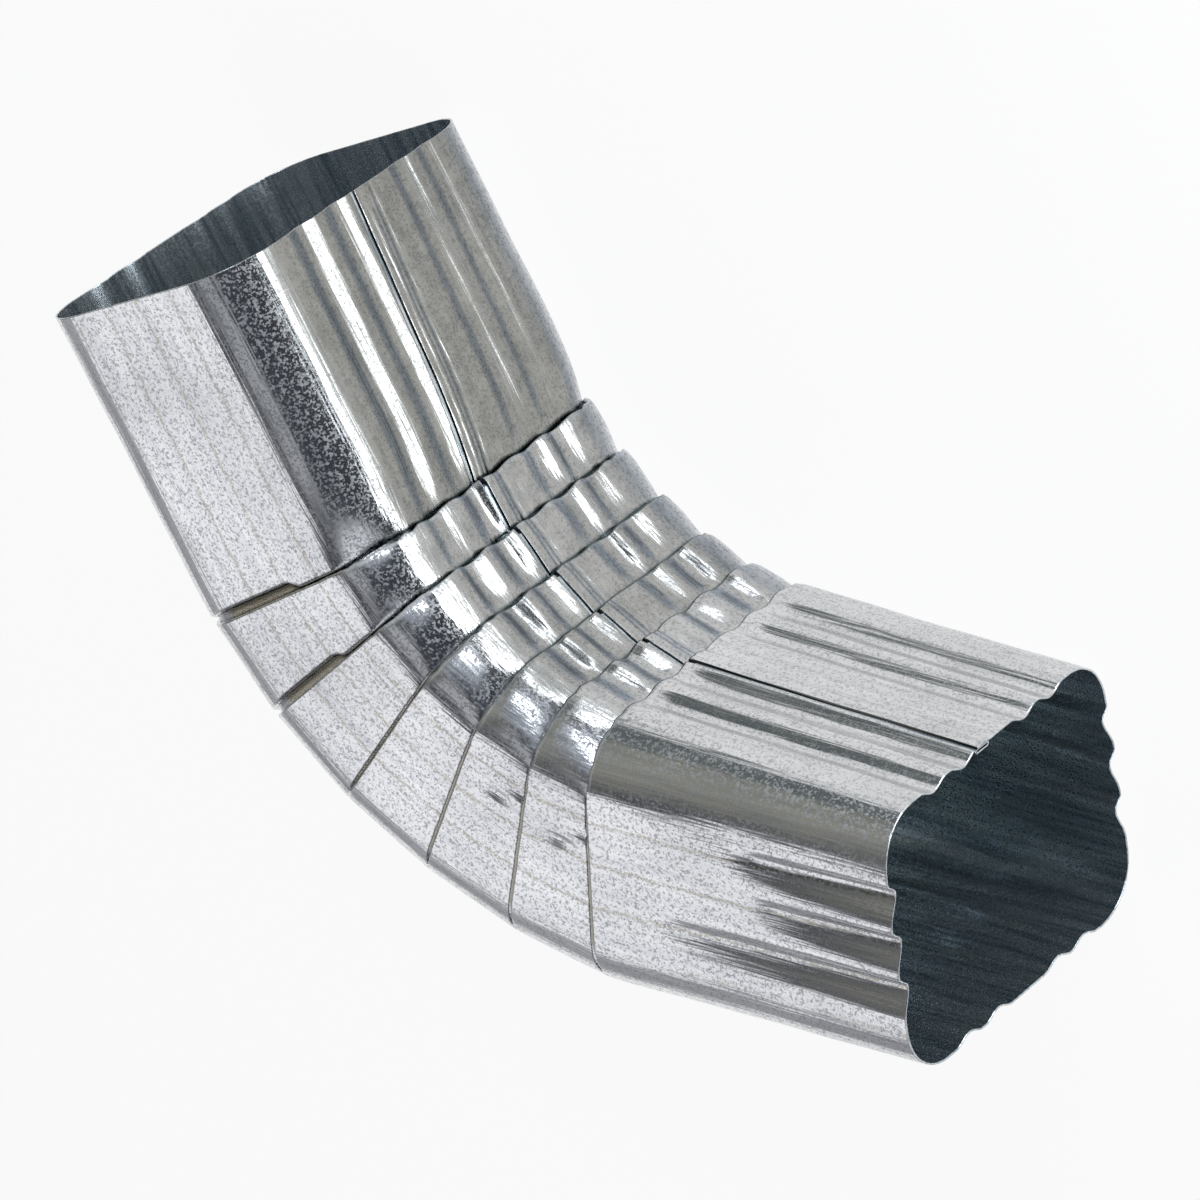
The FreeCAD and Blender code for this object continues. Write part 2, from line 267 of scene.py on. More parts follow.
# The inner face under a lip: five places that follow the pleat in and back, a sheet's thickness further in
def innerFold(k, skin):
    deepThroat, deepHeel = crimp["foldThroat"], crimp["foldHeel"][k]
    endThroat, endHeel = crimp["pleatThroat"] + skin, crimp["pleatHeel"] + skin
    after = crimp["bevel"] + innerLip["past"]
    backHeel = max(deepHeel - innerLip["pleatThick"], innerLip["leastHeel"])
    xThroat = np.array([innerLip["inThroat"], endThroat, endThroat, innerLip["backThroat"], after])
    xHeel = np.array([innerLip["inHeel"], endHeel, endHeel, innerLip["backHeel"], after])
    inThroat = np.array([deepThroat, deepThroat, deepThroat - innerLip["pleatThick"], crimp["lipTop"], 0.0]) + skin
    inHeel = np.array([deepHeel, deepHeel, backHeel, innerLip["heelRise"], 0.0]) + skin
    return stretch(k + 1, xThroat + mitre, xHeel - mitre, inThroat, inHeel)


# The inlet arm: even rows from the mouth to where the wall begins to sink, with one narrow row at the rim
def inletArm(rows, skin):
    u = np.linspace(0, 1, rows)
    u[1] = division["rim"] / tube["inletLength"]
    xThroat = -tube["inletThroatLength"] + u * (tube["inletThroatLength"] - crimp["armRun"] - mitre)
    xHeel = -tube["inletLength"] + u * (tube["inletLength"] - crimp["armRun"] + mitre)
    return stretch(0, xThroat, xHeel, skin, skin)[:-1]


# The outlet arm: even rows from behind the last lip to the mouth, with one narrow row at the rim
def outletArm(rows, skin):
    u = np.linspace(0, 1, rows)
    u[-2] = 1 - division["rim"] / tube["outletLength"]
    startThroat, startHeel = crimp["bevel"] + mitre, crimp["bevel"] - mitre
    xThroat = startThroat + u * (tube["outletThroatLength"] - startThroat)
    xHeel = startHeel + u * (tube["outletLength"] - startHeel)
    return stretch(tube["crimps"], xThroat, xHeel, skin, skin)[1:]


# All rows of one face in their order: the inlet arm, each crimp's approach and lip, the outlet arm
def allRows(skin):
    face = 0 if skin == 0 else 1
    rows = [inletArm(division["inletRows"][face], skin)]
    for k in range(tube["crimps"]):
        rows.append(approach(k, division["goreRows" if k else "firstRows"][face], skin))
        rows.append(innerFold(k, skin) if face else outerLip(k))
    rows.append(outletArm(division["outletRows"][face], skin))
    return np.concatenate(rows)


# The grooves' depth with z across the throat and heel walls: a hollow at each centre. On the gores a sine of the
# length and the groove moves each one, deepens it and leans it, and a cosine ripple runs under them
def wallDepth(length, x, z, slot):
    n = tube["crimps"]
    inletShare = np.where(length == 0, x / tube["inletLength"], 0)
    depth = np.where(length == n, grooves["outletDepth"], grooves["goreDepth"])
    start = grooves["outletStart"]
    settle = np.where(length == n, ease((x - mitre) / grooves["outletRun"]) * (1 - start) + start, 1.0)
    settle = settle * (1 - grooves["fadeAtCrimp"] * slot ** 2)
    drift = grooves["inletDrift"] * np.clip(-inletShare, 0, 1)
    drift = drift * (1 - np.clip(np.abs(z) / grooves["driftHalfWidth"], 0, 1) ** 2)
    gore = (length > 0) & (length < n)
    total = np.zeros_like(z)
    for i, centre in enumerate(grooves["centres"]):
        wander = gore * grooves["wander"] * np.sin(grooves["wanderStep"][0] * length + grooves["wanderStep"][1] * i)
        deeper = np.sin(grooves["unevenStep"][0] * length + grooves["unevenStep"][1] * i + 1)
        deep = (1 + gore * grooves["uneven"] * deeper) * np.where(length == 0, grooves["inletDepth"][i], depth)
        skew = grooves["skew"] * gore * np.sin(length + grooves["skewStep"] * i)
        total += deep * hollow((z - centre - drift - wander) / grooves["halfSpan"], skew)
    shift = grooves["rippleWander"] * np.sin(grooves["rippleStep"] * length)
    phase = 2 * np.pi * (z - grooves["centres"][2] + shift) / grooves["pitch"]
    total += gore * grooves["ripple"] * (1 + np.cos(phase)) / 2
    return total * settle * np.abs(outY) ** grooves["cornerPower"]


# The grooves' depth with y across the side walls: on the outlet each hollow grows towards the mouth as a power of
# the distance run, and a shoulder eases in beside them as the square of its width
def sideDepth(length, x, y):
    form = sideGrooves
    onOutlet = length == tube["crimps"]
    total = np.zeros_like(y)
    for centre, deep, run in zip(form["centres"], form["depth"], form["run"]):
        start = tube["outletLength"] - run
        grow = np.clip((x - start) / run, 0, 1) ** form["power"] * ease((x - start) / form["start"])
        grow = np.where(onOutlet, grow * deep, form["faint"])
        total += hollow((y - centre) / form["halfSpan"], form["skew"]) * grow
    shoulder = form["shoulder"] * np.where(onOutlet, ease((x - form["shoulderFrom"]) / form["shoulderRun"]), 0)
    total += shoulder * np.clip((y - form["shoulderPlace"]) / form["shoulderWidth"], 0, 1) ** 2
    return total * np.abs(outZ) ** grooves["cornerPower"]


# How far the seam lies off its place: on the inlet arm it drifts evenly towards the mouth
def seamDrift(length, x):
    near, far = seam["inletDrift"]
    t = np.clip(-x / tube["inletLength"], 0, 1)
    return np.where(length == 0, near + (far - near) * t, 0.0)


# The seam: a folded band with a domed top, a power of 1 less the square of the place across it, and a fine line at
# its edge, e to the minus square, then a narrow gap, e to the minus fourth power
def lockSeam(length, x, z):
    u = z - seam["place"] - seamDrift(length, x)
    half = seam["band"] / 2
    across = (u + half + seam["margin"]) / (half - seam["margin"])
    dome = seam["dome"] + seam["ripple"] * np.cos(2 * seam["rippleWaves"] * np.pi * across)
    band = np.clip(1 - across ** 2, 0, 1) ** seam["domePower"] * dome
    band = band * ease((x + tube["inletThroatLength"] - seam["start"]) / seam["startRun"])
    line = np.exp(-((u + seam["band"] + seam["edgePlace"]) / seam["edgeWidth"]) ** 2) * seam["edge"]
    gap = np.exp(-np.abs(u / seam["gap"]) ** 4) * seam["gapDepth"]
    return (gap + line - band) * flatThroat


# A wave over a length: its height times the sine of the sum of its turns along, round and by length
def wave(form, x, girth, length):
    height, perAlong, perRound, perLength = form
    return height * np.sin(x * perAlong + girth * perRound + length * perLength)


# How far the sheet is uneven: two slow waves, the product of two finer ones on the gores' throat, and the dents,
# a bump each, on the upper side wall
def unevenness(length, x, y, girth):
    total = wave(uneven["waves"][0], x, girth, length) + wave(uneven["waves"][1], x, girth, length)
    goreThroat = (length > 0) & (length < tube["crimps"]) & (y > 0)
    pinch = wave(uneven["pinch"], x, girth, length) * wave(uneven["pinchAlong"], x, girth, length)
    total = total + goreThroat * (pinch * ease(np.abs(outY) * 2))
    dents = np.zeros_like(y)
    for gore, placeAlong, placeAcross, sizeAlong, sizeAcross, deep in uneven["dents"]:
        dents += (length == gore) * deep * bump(x, y, placeAlong, placeAcross, sizeAlong, sizeAcross)
    return (total + uneven["lift"]) * uneven["share"] + dents * (outZ > straight)


# Between two crimps the throat's corners swell: they sink at both ends of a gore as the square of the distance
# from its middle, and on the inlet arm as the square of the distance run towards the first crimp
def pillow(length, x, share):
    inset = mitre * (2 * share - 1)
    u = np.clip((x - inset) / (tube["goreLength"] - 2 * inset), 0, 1)
    goreSink = np.array((0,) + crimp["pillow"] + (0,))[length.astype(int)] * (2 * u - 1) ** 2
    armSink = (length == 0) * crimp["armPillow"] * np.clip((x + inset) / crimp["armPillowRun"] + 1, 0, 1) ** 2
    return (goreSink + armSink) * throatCorner * np.where(outZ > 0, 1, crimp["farPillow"])


# The grid: each row is laid round the tube and set in by fold, groove, seam and unevenness, its place along the
# length is straight between throat and heel, and it is turned by the length's heading about the length's origin.
# The marks are what the finish is worked out from
def sheetGrid(rows, skin):
    length, xThroat, xHeel, inThroat, inHeel, lip, slot, crease = [rows[:, i:i + 1] for i in range(8)]
    index = rows[:, 0].astype(int)
    n = tube["crimps"]
    taper = np.where(length == n, np.clip((xThroat + xHeel) / 2 / tube["outletLength"], 0, 1), 0)
    halfWidth = tube["halfWidth"] + (tube["outletHalfWidth"] - tube["halfWidth"]) * taper
    halfDepth = tube["halfDepth"] + (tube["outletHalfDepth"] - tube["halfDepth"]) * taper
    radius = tube["cornerRadius"] + (tube["outletCornerRadius"] - tube["cornerRadius"]) * taper
    fromCorner = 1 - np.abs(placeZ)
    slide = seamDrift(length, xThroat) * fromCorner * flatThroat * np.clip(seam["slideFade"] * fromCorner, 0, 1)
    y = placeY * (halfDepth - radius) + radius * outY
    z = placeZ * (halfWidth - radius) + radius * outZ + slide
    share = np.clip(y / (2 * tube["halfDepth"]) + 0.5, 0, 1)
    x = xHeel + (xThroat - xHeel) * share
    throatShare = np.clip((share - crimp["throatFrom"]) / crimp["throatRun"], 0, 1) ** crimp["throatPower"]
    sink = inHeel + (inThroat - inHeel) * throatShare
    openShare = 1 - ease((share - crimp["slotEnd"]) / crimp["slotEndRun"])
    openShare = openShare * (crimp["slotHeel"] + (1 - crimp["slotHeel"]) * ease(share / crimp["slotHeelRun"]))
    x = x - slot * np.array(crimp["slot"] + (0,))[index][:, None] * openShare
    girth = z * np.abs(outY) + y * np.abs(outZ)
    sink = sink + (wallDepth(length, x, z, slot) + sideDepth(length, x, y))
    if skin == 0:
        sink = sink + lockSeam(length, x, z) * np.where((length == 0) | (length == n), 1, seam["onGores"])
    sink = sink + unevenness(length, x, y, girth) * np.where(flatSide, uneven["sideShare"], 1.0)
    ripple = np.sin(girth * crimp["lipWaveRound"] + length * crimp["lipWaveStep"])
    x = x + lip * crimp["lipWave"] * ripple * throatShare
    sink = sink + pillow(length, x, share)
    sink = np.maximum(sink, np.where(flatThroat, -seam["rise"], tube["clear"]) + skin)
    y = y - sink * outY
    z = z - sink * outZ + tube["place"][2]
    turn = headings[index][:, None]
    start = origins[index]
    px = start[:, :1] + np.cos(turn) * x - np.sin(turn) * y + tube["place"][0]
    py = start[:, 1:] + np.sin(turn) * x + np.cos(turn) * y + tube["place"][1]
    grid = np.stack([px, py, z], -1) * millimetre
    across = placeY * (halfDepth - radius)
    marks = {"length": length, "along": x, "crease": crease, "across": across, "y": y, "z": z}
    return grid, {name: np.broadcast_to(values, z.shape) for name, values in marks.items()}


# Both faces as one grid: the outer rows in order, then the inner rows back again
def buildSheet():
    outer, outerMarks = sheetGrid(allRows(0.0), 0.0)
    inner, innerMarks = sheetGrid(allRows(tube["sheet"]), tube["sheet"])
    grid = np.concatenate([outer, inner[::-1]])
    marks = {name: np.concatenate([outerMarks[name], innerMarks[name][::-1]]) for name in outerMarks}
    marks["inside"] = np.concatenate([np.zeros(outer.shape[:2]), np.ones(inner.shape[:2])])
    return grid, marks


# A closed grid becomes a mesh of four-sided faces, joined both ways round: each face takes a point, the one
# below it, the one below and to the right, and the one to the right
def gridMesh(name, grid):
    m, n = grid.shape[:2]
    index = np.arange(m * n).reshape(m, n)
    right, down = np.roll(index, -1, 1), np.roll(index, -1, 0)
    faces = np.stack([index, down, np.roll(down, -1, 1), right], -1).reshape(-1, 4)
    mesh = bpy.data.meshes.new(name)
    mesh.vertices.add(m * n)
    mesh.vertices.foreach_set("co", grid.reshape(-1))
    mesh.loops.add(len(faces) * 4)
    mesh.loops.foreach_set("vertex_index", faces.reshape(-1))
    mesh.polygons.add(len(faces))
    mesh.polygons.foreach_set("loop_start", np.arange(len(faces)) * 4)
    mesh.polygons.foreach_set("use_smooth", np.ones(len(faces), bool))
    mesh.update(calc_edges=True)
    mesh.validate()
    return mesh


# How far each place leans down towards the lower side wall: the downward part of the normal, which is the cross
# product of the grid's two slopes, with its sign taken from the way to the throat
def leanDown(grid, throatWay):
    alongRow = np.roll(grid, -1, 1) - np.roll(grid, 1, 1)
    downRow = np.roll(grid, -1, 0) - np.roll(grid, 1, 0)
    normal = np.cross(downRow, alongRow)
    normal /= np.maximum(np.linalg.norm(normal, axis=-1, keepdims=True), 1e-12)
    return -normal[..., 2] * np.sign(np.sum(normal[..., :2] * throatWay, -1))


# One value at each point of a mesh, kept under a name that the finish reads
def setMark(mesh, name, values):
    mark = mesh.attributes.new(name, "FLOAT", "POINT")
    mark.data.foreach_set("value", np.ascontiguousarray(values, np.float32).reshape(-1))


# Where the finish changes: the khaki painted reflection on the throat, the stain lines on the side walls, the worn
# lip edges, the painted shade and duller metal inside, the blue painted reflection and the seam's dark gap, and the
# drawn-out lines along the strip
wear = {
    "reflectionEnd": 5.6, "reflectionRun": 1.2, "leastReflection": 0.2, "goreReflectionLoss": 0.22, "throatPower": 6,
    "stainPlace": 4.6, "stainPitch": 13.5,
    "wornFrom": 0.2, "wornDull": 0.6, "insideDull": (0.14, 0.07), "dullRun": 3,
    "paintedInsideShade": 0.75, "insideShadeRun": 12,
    "blueReflectionLean": 0.08, "blueReflectionRun": 0.2, "blueReflectionEnd": 5.5,
    "gapHalf": 0.62, "gapSoft": 0.2, "gapShift": 0.25,
    "stripAlong": 0.004, "stripStep": 3, "stripAcross": 10,
}


# The marks on the sheet: each but two is a share from 0 to 1, a product of how far along, how far round and how
# deep in a crease a place is, and of whether it is on the outer face. Across counts the stain lines' distances
# over the side wall, and strip is a place on the flat strip
def markSheet(mesh, grid, marks):
    length, along, crease, inside = marks["length"], marks["along"], marks["crease"], marks["inside"]
    outside = 1 - inside
    throatWall = np.clip(np.where(placeY > 0, outY, 0), 0, 1) ** wear["throatPower"]
    # painted reflection: the throat wall is tinted khaki, most on the inlet arm, as if it mirrored dark
    # surroundings
    mostReflection = 1 - wear["goreReflectionLoss"] * (length > 0)
    paintedKhakiReflection = np.clip((wear["reflectionEnd"] - length) / wear["reflectionRun"], wear["leastReflection"], mostReflection)
    worn = np.clip(-crease, 0, 1) * (placeY > 0) * (outY > wear["wornFrom"]) * outside
    fold = np.clip(crease, 0, 1)
    nearDull, farDull = wear["insideDull"]
    dull = nearDull - (nearDull - farDull) * np.clip(length / wear["dullRun"], 0, 1)
    setMark(mesh, "inside", inside)
    setMark(mesh, "paintedKhakiReflection", paintedKhakiReflection * throatWall * outside)
    setMark(mesh, "side", flatSide * outside)
    setMark(mesh, "across", (marks["across"] - wear["stainPlace"]) / wear["stainPitch"])
    # crease and pinch are painted shade in the folds under the lips: crease on the side walls, pinch as a
    # near-black line along the throat and on the darker lip noses
    setMark(mesh, "crease", np.where(crease < lipForm["darkNose"], fold, 0) * outside)
    setMark(mesh, "pinch", fold * np.clip(outY, 0, 1) ** 2 * (placeY > 0) * outside)
    # painted shade inside the tube, with a teal cast, growing from the inlet towards the outlet
    setMark(mesh, "paintedInsideShade", inside * np.clip(wear["paintedInsideShade"] + length / wear["insideShadeRun"], 0, 1))
    setMark(mesh, "dull", inside * dull + wear["wornDull"] * worn)
    setMark(mesh, "corner", throatCorner * outside)

    # a place on the strip for the fine lines that forming leaves: drawn out along the tube, centimetres across it
    place = [along * wear["stripAlong"] + length * wear["stripStep"],
             marks["y"] / wear["stripAcross"], marks["z"] / wear["stripAcross"]]
    strip = mesh.attributes.new("strip", "FLOAT_VECTOR", "POINT")
    strip.data.foreach_set("vector", np.stack(place, -1).astype(np.float32).reshape(-1))

    # painted reflection: throat slopes that lean down towards the lower side wall are tinted blue-grey, as if they
    # mirrored the shaded floor below
    throatWay = np.stack([-np.sin(headings), np.cos(headings)], -1)[length.astype(int)]
    paintedBlueReflection = ease((leanDown(grid, throatWay) - wear["blueReflectionLean"]) / wear["blueReflectionRun"])
    fromGap = np.abs(marks["z"] - (tube["place"][2] - wear["gapShift"]) - seam["place"] - seamDrift(length, along))
    gap = np.clip((wear["gapHalf"] - fromGap) / wear["gapSoft"], 0, 1)
    setMark(mesh, "gap", gap * flatThroat * outside)
    setMark(mesh, "paintedBlueReflection", paintedBlueReflection * throatWall * (length < wear["blueReflectionEnd"]) * outside)


sheetPoints, sheetMarks = buildSheet()
sheetMesh = gridMesh("elbowSheet", sheetPoints)
elbow = bpy.data.objects.new("elbowSheet", sheetMesh)
bpy.context.collection.objects.link(elbow)
markSheet(sheetMesh, sheetPoints, sheetMarks)
print("sheet made,", len(sheetMesh.polygons) * 2, "triangles")


# A shader node with its settings, and with each input as a value or a link
def node(tree, kind, inputs=None, **settings):
    made = tree.nodes.new(kind)
    for key, value in settings.items():
        setattr(made, key, value)
    for key, value in (inputs or {}).items():
        if isinstance(value, bpy.types.NodeSocket):
            tree.links.new(value, made.inputs[key])
        else:
            made.inputs[key].default_value = value
    return made


# A colour mix: the first colour times 1 less the factor, plus the second times the factor, or their product there
def mixed(tree, factor, first, second, blend="MIX"):
    inputs = {0: factor, 6: first, 7: second}  # the node's sockets for a factor and two colours
    return node(tree, "ShaderNodeMix", inputs, data_type="RGBA", blend_type=blend).outputs[2]


# A value moved from one range to another: straight between the two, and level outside
def ranged(tree, value, span, to=(0.0, 1.0), curve="LINEAR"):
    inputs = {"Value": value, "From Min": span[0], "From Max": span[1], "To Min": to[0], "To Max": to[1]}
    return node(tree, "ShaderNodeMapRange", inputs, interpolation_type=curve).outputs["Result"]


# A sum, product or the like of up to three values
def worked(tree, operation, *values, **settings):
    return node(tree, "ShaderNodeMath", dict(enumerate(values)), operation=operation, **settings).outputs[0]


# The galvanised finish: fine crystals of zinc with dark specks, and the colours that lie over them. From the patch
# to the mottle each is a product with the colour below, and the stain, crease, pinch and gap cover it. The khaki
# and blue layers and their mottle are painted reflection, and the inside tint, crease and pinch are painted shade.
# A noise is its scale, detail and roughness
finish = {
    "light": (0.84, 0.84, 0.855, 1), "dark": (0.57, 0.575, 0.59, 1), "speckSpan": (0.82, 1.3), "grainShare": 1.6,
    "crystal": 1900.0, "grain": (900.0, 1.0, 0.65), "cloud": (28.0, 1.0, 0.5), "wander": (160.0, 2.0, 0.7),
    "lines": (4.5, 2.0, 0.7),
    "patch": (0.62, 0.63, 0.64, 1), "cloudSpan": (0.3, 0.7), "patchShare": 0.3,
    # the khaki and blue colours are painted reflections
    "paintedKhakiReflection": (0.45, 0.445, 0.41, 1), "paintedBlueReflection": (0.50, 0.57, 0.66, 1),
    "drawn": (0.72, 0.75, 0.77, 1), "lineSpan": (0.42, 0.66), "drawnShare": 0.6,
    # the second of these is painted shade inside the tube
    "insideLines": (0.55, 0.62, 0.66, 1), "insideShadeTint": (0.72, 0.80, 0.82, 1),
    # the mottle darkens the khaki painted reflection in blotches
    "reflectionMottle": (0.80, 0.81, 0.80, 1), "mottleSpan": (0.4, 0.62), "mottleShare": 0.8,
    "stain": (0.40, 0.375, 0.31, 1), "stainWander": 0.22, "stainFold": 0.5, "stainSpan": (0.07, 0.015),
    "brokenSpan": (0.40, 0.55), "stainShare": 0.8,
    # the crease and pinch colours are painted shade
    "crease": (0.40, 0.37, 0.30, 1), "pinch": (0.09, 0.115, 0.12, 1), "gap": (0.012, 0.016, 0.018, 1),
    "roughness": (0.13, 0.22), "speckRoughness": 0.34, "cornerRoughness": 0.34,
    "reliefDepth": 0.0012, "relief": 0.16,
}


# The finish as one metal: its colour is the specks' mix with each layer put over it by its share, its roughness
# runs from a matt one on the specks to the clouds' own on the crystals, and it is a metal by 1 less the dull mark
def galvanised():
    material = bpy.data.materials.new("galvanisedSheet")
    material.use_nodes = True
    tree = material.node_tree
    shader = tree.nodes["Principled BSDF"]
    where = node(tree, "ShaderNodeTexCoord").outputs["Object"]
    strip = node(tree, "ShaderNodeAttribute", attribute_name="strip").outputs["Vector"]

    # a named mark's share
    def mark(name):
        return node(tree, "ShaderNodeAttribute", attribute_name=name).outputs["Fac"]

    # a noise from the dictionary, over the object or over the strip
    def noise(name, place):
        scale, detail, roughness = finish[name]
        inputs = {"Vector": place, "Scale": scale, "Detail": detail, "Roughness": roughness}
        return node(tree, "ShaderNodeTexNoise", inputs).outputs["Fac"]

    # a layer over the colour below, as their product or as a cover, by a share
    def layer(colour, share, name, blend="MULTIPLY"):
        return mixed(tree, share, colour, finish[name], blend)

    crystal = node(tree, "ShaderNodeTexVoronoi", {"Vector": where, "Scale": finish["crystal"], "Randomness": 1.0})
    flake = node(tree, "ShaderNodeSeparateColor", {"Color": crystal.outputs["Color"]}).outputs["Red"]
    grain, cloud, wander = noise("grain", where), noise("cloud", where), noise("wander", where)
    lines = noise("lines", strip)
    speck = ranged(tree, worked(tree, "MULTIPLY_ADD", grain, finish["grainShare"], flake), finish["speckSpan"])
    patch = ranged(tree, cloud, finish["cloudSpan"], (0.0, finish["patchShare"]))
    drawn = ranged(tree, lines, finish["lineSpan"])
    reflectionMottle = ranged(tree, wander, finish["mottleSpan"], (0.0, finish["mottleShare"]))

    # faint broken stains, where the strip was creased along the side walls
    ragged = worked(tree, "MULTIPLY_ADD", wander, finish["stainWander"], mark("across"))
    nearLine = ranged(tree, worked(tree, "PINGPONG", ragged, finish["stainFold"]), finish["stainSpan"])
    broken = ranged(tree, grain, finish["brokenSpan"])
    stain = worked(tree, "MULTIPLY", worked(tree, "MULTIPLY", nearLine, broken),
                   worked(tree, "MULTIPLY", mark("side"), finish["stainShare"]))

    colour = mixed(tree, speck, finish["dark"], finish["light"])
    colour = layer(colour, patch, "patch")
    # painted reflection: khaki over the throat wall
    colour = layer(colour, mark("paintedKhakiReflection"), "paintedKhakiReflection")
    # painted reflection: blue-grey on the throat slopes that lean down
    colour = layer(colour, mark("paintedBlueReflection"), "paintedBlueReflection")
    colour = layer(colour, worked(tree, "MULTIPLY", drawn, finish["drawnShare"]), "drawn")
    colour = layer(colour, worked(tree, "MULTIPLY", drawn, mark("inside")), "insideLines")
    # painted shade inside the tube
    colour = layer(colour, mark("paintedInsideShade"), "insideShadeTint")
    # blotches of darker painted reflection on the throat wall
    colour = layer(colour, worked(tree, "MULTIPLY", reflectionMottle, mark("paintedKhakiReflection")), "reflectionMottle")
    colour = layer(colour, stain, "stain", "MIX")
    # painted shade in the folds on the side walls
    colour = layer(colour, worked(tree, "MULTIPLY", mark("crease"), mark("side")), "crease", "MIX")
    # painted shade: near-black lines in the crimps' folds on the throat and on the darker lip noses
    colour = layer(colour, mark("pinch"), "pinch", "MIX")
    colour = layer(colour, mark("gap"), "gap", "MIX")

    smooth = ranged(tree, cloud, finish["cloudSpan"], finish["roughness"])
    matt = worked(tree, "MULTIPLY_ADD", mark("corner"), finish["cornerRoughness"], finish["speckRoughness"])
    inputs = {"Height": lines, "Distance": finish["reliefDepth"], "Strength": finish["relief"]}
    relief = node(tree, "ShaderNodeBump", inputs)
    tree.links.new(colour, shader.inputs["Base Color"])
    tree.links.new(ranged(tree, speck, (0.0, 1.0), (matt, smooth)), shader.inputs["Roughness"])
    tree.links.new(relief.outputs["Normal"], shader.inputs["Normal"])
    tree.links.new(worked(tree, "SUBTRACT", 1.0, mark("dull")), shader.inputs["Metallic"])
    return material


zinc = galvanised()
sheetMesh.materials.append(zinc)
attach(elbow, "root")
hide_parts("elbow")
print("finish made")

# The hooked edge inside the lock seam, which shows end on at the outlet's mouth: how thick it is, how it bends,
# how deep it lies, its places across from the seam's gap, and how far it runs in from the mouth
hook = {
    "thick": 0.36, "bend": 0.52, "depth": 1.45,
    "from": 0.5, "midOut": 3.0, "to": 5.4, "midBack": 3.4, "back": 0.5,
    "run": 45.0, "inset": 0.2, "bendPoints": 11, "rows": 8,
}


# The hook's outline: its middle line runs in under the wall, turns back on a half circle and ends short of the
# start, and half its thickness is added on both sides
def hookOutline():
    turn = np.radians(np.linspace(-90, 90, hook["bendPoints"]))
    acrossLine = np.concatenate([[hook["from"], hook["midOut"]], hook["to"] + hook["bend"] * np.cos(turn),
                                 [hook["midBack"], hook["back"]]])
    downLine = np.concatenate([[1, 1], -np.sin(turn), [-1, -1]]) * hook["bend"] + hook["depth"]
    line = np.stack([seam["place"] - acrossLine, downLine], 1)
    way = np.gradient(line, axis=0)
    way /= np.linalg.norm(way, axis=1, keepdims=True)
    out = np.stack([-way[:, 1], way[:, 0]], 1) * hook["thick"] / 2
    return np.concatenate([line + out, (line - out)[::-1]])


# The hook carries its outline along the outlet's throat wall, at a depth below the wall, which narrows evenly
# towards the mouth, and a face closes each end
def seamHook():
    outline = hookOutline()
    mouth = tube["outletThroatLength"]
    x = np.linspace(mouth - hook["run"], mouth - hook["inset"], hook["rows"])[:, None]
    wall = tube["halfDepth"] + (tube["outletHalfDepth"] - tube["halfDepth"]) * x / tube["outletLength"]
    startX, startY = origins[-1] + np.array(tube["place"][:2])
    parts = (startX + x, startY + (wall - outline[None, :, 1]), tube["place"][2] + outline[None, :, 0])
    grid = np.stack(np.broadcast_arrays(*parts), -1) * millimetre
    m, n = grid.shape[:2]
    index = np.arange(m * n).reshape(m, n)
    around = np.roll(index, -1, 1)
    faces = np.stack([index[:-1], index[1:], around[1:], around[:-1]], -1).reshape(-1, 4).tolist()
    mesh = bpy.data.meshes.new("seamHook")
    mesh.from_pydata(grid.reshape(-1, 3).tolist(), [], faces + [index[0].tolist(), index[-1][::-1].tolist()])
    mesh.materials.append(zinc)
    piece = bpy.data.objects.new("seamHook", mesh)
    bpy.context.collection.objects.link(piece)
    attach(piece, "root")
    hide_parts("elbow")
    return mesh


print("hook made,", len(seamHook().polygons), "faces")

# The studio: a pale floor painted with shade that deepens in the distance towards one side, a dim sky, and lamps. A
# soft part of the sky is its direction, the cosines at its edge and at its full strength, and its colour. A lamp is
# its name, the direction that it shines from, its place, its width and height, and its power
studio = {
    "floorSize": 1.6, "floorPoints": 96, "floorColour": (0.9, 0.9, 0.9, 1), "floorRoughness": 0.9,
    "floorGlow": 1.0, "glowShare": 0.92,
    # the fall is painted shade on the floor, darker towards one side
    "fallToward": (-0.57, 0.82, 0.0), "fall": (0.25, 0.5), "paintedFloorShade": (0.13, 0.15, 0.15, 1),
    "dimSide": (0.045, 0.05, 0.062, 1), "dimFar": (0.27, 0.27, 0.235, 1),
    "farToward": (-0.70, 0.60, 0.38), "farEdge": (0.45, 0.95),
    "softParts": (
        ((-0.74, -0.65, 0.15), (0.84, 0.95), (0.37, 0.37, 0.39, 1)),
        ((-0.576, -0.50, 0.645), (0.945, 0.985), (1.05, 1.055, 1.08, 1)),
        ((0.45, -0.72, 0.53), (0.78, 0.91), (0.80, 0.82, 0.86, 1)),
        ((0.20, 0.74, 0.64), (0.80, 0.95), (0.31, 0.34, 0.39, 1)),
        ((-0.576, 0.80, 0.06), (0.955, 0.99), (0.125, 0.148, 0.152, 1)),
        ((-0.08, -0.06, 1.0), (0.95, 0.99), (0.42, 0.43, 0.45, 1)),
    ),
    "lamps": (
        ("overThroat", (0.21, 0.74, 0.64), (0.25, 0.88, 0.79), 0.66, 0.24, 2.4),
        ("lowStrip", (1.0, 0.28, 0.0), (0.40, 0.14, 0.056), 0.42, 0.11, 1.1),
        ("midStrip", (0.57, 0.82, 0.0), (0.28, 0.42, 0.056), 0.20, 0.11, 0.36),
        ("farStrip", (0.05, 1.0, 0.0), (0.08, 0.50, 0.056), 0.18, 0.11, 0.32),
    ),
    "lampColour": (0.90, 0.95, 1.0),
}


